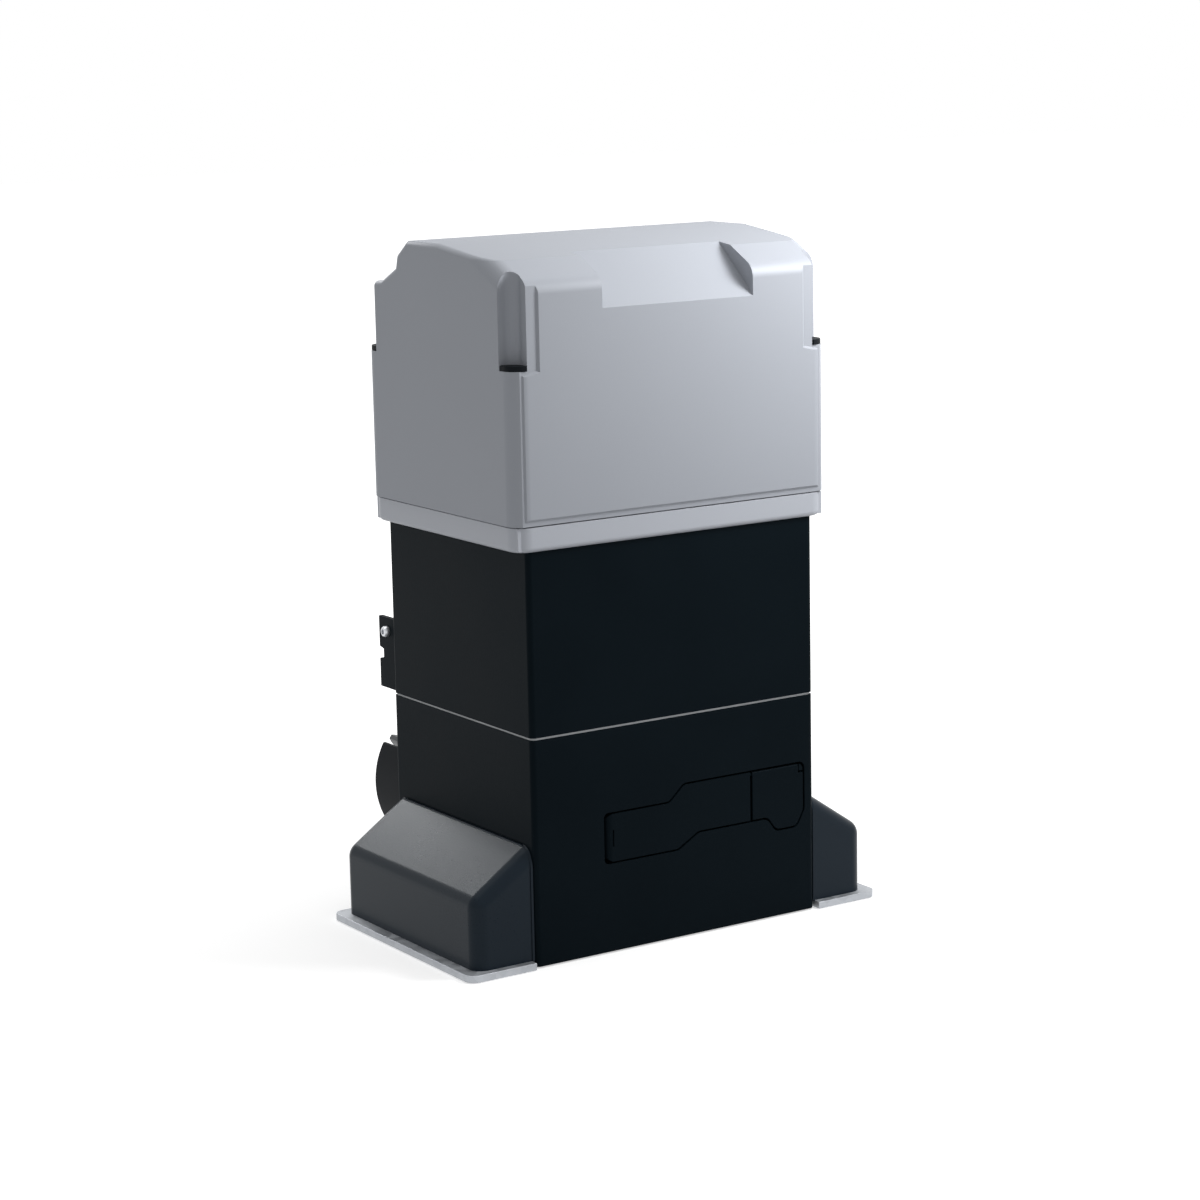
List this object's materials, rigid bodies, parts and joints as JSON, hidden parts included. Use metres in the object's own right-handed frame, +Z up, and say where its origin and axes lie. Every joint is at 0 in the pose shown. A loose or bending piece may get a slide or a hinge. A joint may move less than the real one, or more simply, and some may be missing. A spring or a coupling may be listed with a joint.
{
  "type": "sliding gate motor",
  "caption": "Oil-bath sliding gate gearmotor on a foundation plate, with a rack pinion, keyed release lever and control unit cover.",
  "frame": {"origin": "centre of the four anchor holes, on the underside of the foundation plate", "axes": "+X to the right along the gate, seen from the front; +Y towards the gate and the pinion; +Z up"},
  "size_m": [0.275, 0.191, 0.387],
  "materials": {
    "casting": "satin",
    "cover": "satin",
    "tray": "satin",
    "side_plastic": "satin",
    "black_plastic": "satin",
    "zinc_plate": "satin",
    "zinc": "satin",
    "steel": "satin",
    "black_steel": "satin",
    "bare_aluminium": "satin",
    "lamination": "matte",
    "copper": "satin",
    "bronze": "satin",
    "rubber": "matte",
    "gasket": "matte",
    "lining": "matte",
    "circuit": "satin",
    "green_plastic": "satin",
    "capacitor": "satin"
  },
  "bodies": {
    "housing": {"foundation_plate": "zinc_plate", "plate_studs": "zinc", "stud_nuts": "zinc", "lower_housing": "casting", "upper_housing": "casting", "housing_gasket": "gasket", "housing_bolts": "zinc", "bearing_plate": "bare_aluminium", "side_cover_left": "side_plastic", "side_cover_right": "side_plastic", "cover_tray": "tray", "tray_screws": "zinc", "top_cover": "cover", "cover_screws": "zinc", "cover_screw_caps": "black_plastic", "stator_core": "lamination", "stator_windings": "copper", "rotor_bearing_outer_rings": "steel", "output_bearing_outer_rings": "steel", "oil_seals": "rubber", "motor_end_shield": "bare_aluminium", "oil_fill_plug": "black_steel", "sensor_bracket": "black_plastic", "limit_sensor": "black_plastic", "rear_screws": "zinc", "pinion_guard": "black_plastic", "control_board": "circuit", "board_standoffs": "bare_aluminium", "board_terminals": "green_plastic", "board_relays": "black_plastic", "transformer": "lamination", "start_capacitor": "capacitor", "encoder_sensor": "black_plastic", "cable_grommet": "rubber", "lever_pin": "steel", "release_rod_bush": "bronze"},
    "output": {"output_shaft": "steel", "pinion": "black_steel", "pinion_key": "steel", "pinion_bolt": "zinc", "pinion_spacer": "steel", "worm_wheel": "bronze", "friction_discs": "lining", "clutch_springs": "steel", "clutch_nut": "black_steel", "output_bearing_inner_rings": "steel"},
    "rotor": {"worm_shaft": "steel", "rotor_core": "lamination", "rotor_end_rings": "bare_aluminium", "encoder_disc": "black_plastic", "rotor_bearing_inner_rings": "steel"},
    "lever": {"release_lever": "casting", "lock_case": "steel", "flap_pin": "steel"},
    "lock": {"lock_cylinder": "steel", "lock_tail": "zinc"},
    "flap": {"lock_flap": "casting"},
    "release": {"release_rod": "steel", "cross_pin_dowel": "steel", "pressure_plate": "steel"}
  },
  "joints": [
    {"name": "rotor_spin", "type": "hinge", "parent": "housing", "child": "rotor", "pos_m": [0.008, 0, 0.1], "axis": [0, 0, 1], "continuous": true},
    {"name": "output_spin", "type": "hinge", "parent": "housing", "child": "output", "pos_m": [-0.0435, 0, 0.067], "axis": [0, 1, 0], "continuous": true},
    {"name": "lever_swing", "type": "hinge", "parent": "housing", "child": "lever", "pos_m": [-0.036, -0.067, 0.0645], "axis": [0, 0, -1], "range_deg": [0, 90]},
    {"name": "clutch_release", "type": "slide", "parent": "output", "child": "release", "axis": [0, 1, 0], "range_m": [0, 0.0045], "deforming": ["clutch_springs"]},
    {"name": "lock_turn", "type": "hinge", "parent": "lever", "child": "lock", "pos_m": [0.072, -0.065, 0.0692], "axis": [0, 1, 0], "range_deg": [0, 90]},
    {"name": "flap_swing", "type": "hinge", "parent": "lever", "child": "flap", "pos_m": [0.0685, -0.0724, 0.0853], "axis": [-1, 0, 0], "range_deg": [0, 100]}
  ],
  "couplings": [
    {"joint": "output_spin", "follows": "rotor_spin", "ratio": 0.033333},
    {"joint": "clutch_release", "follows": "lever_swing", "m_per_rad": 0.0028648}
  ]
}
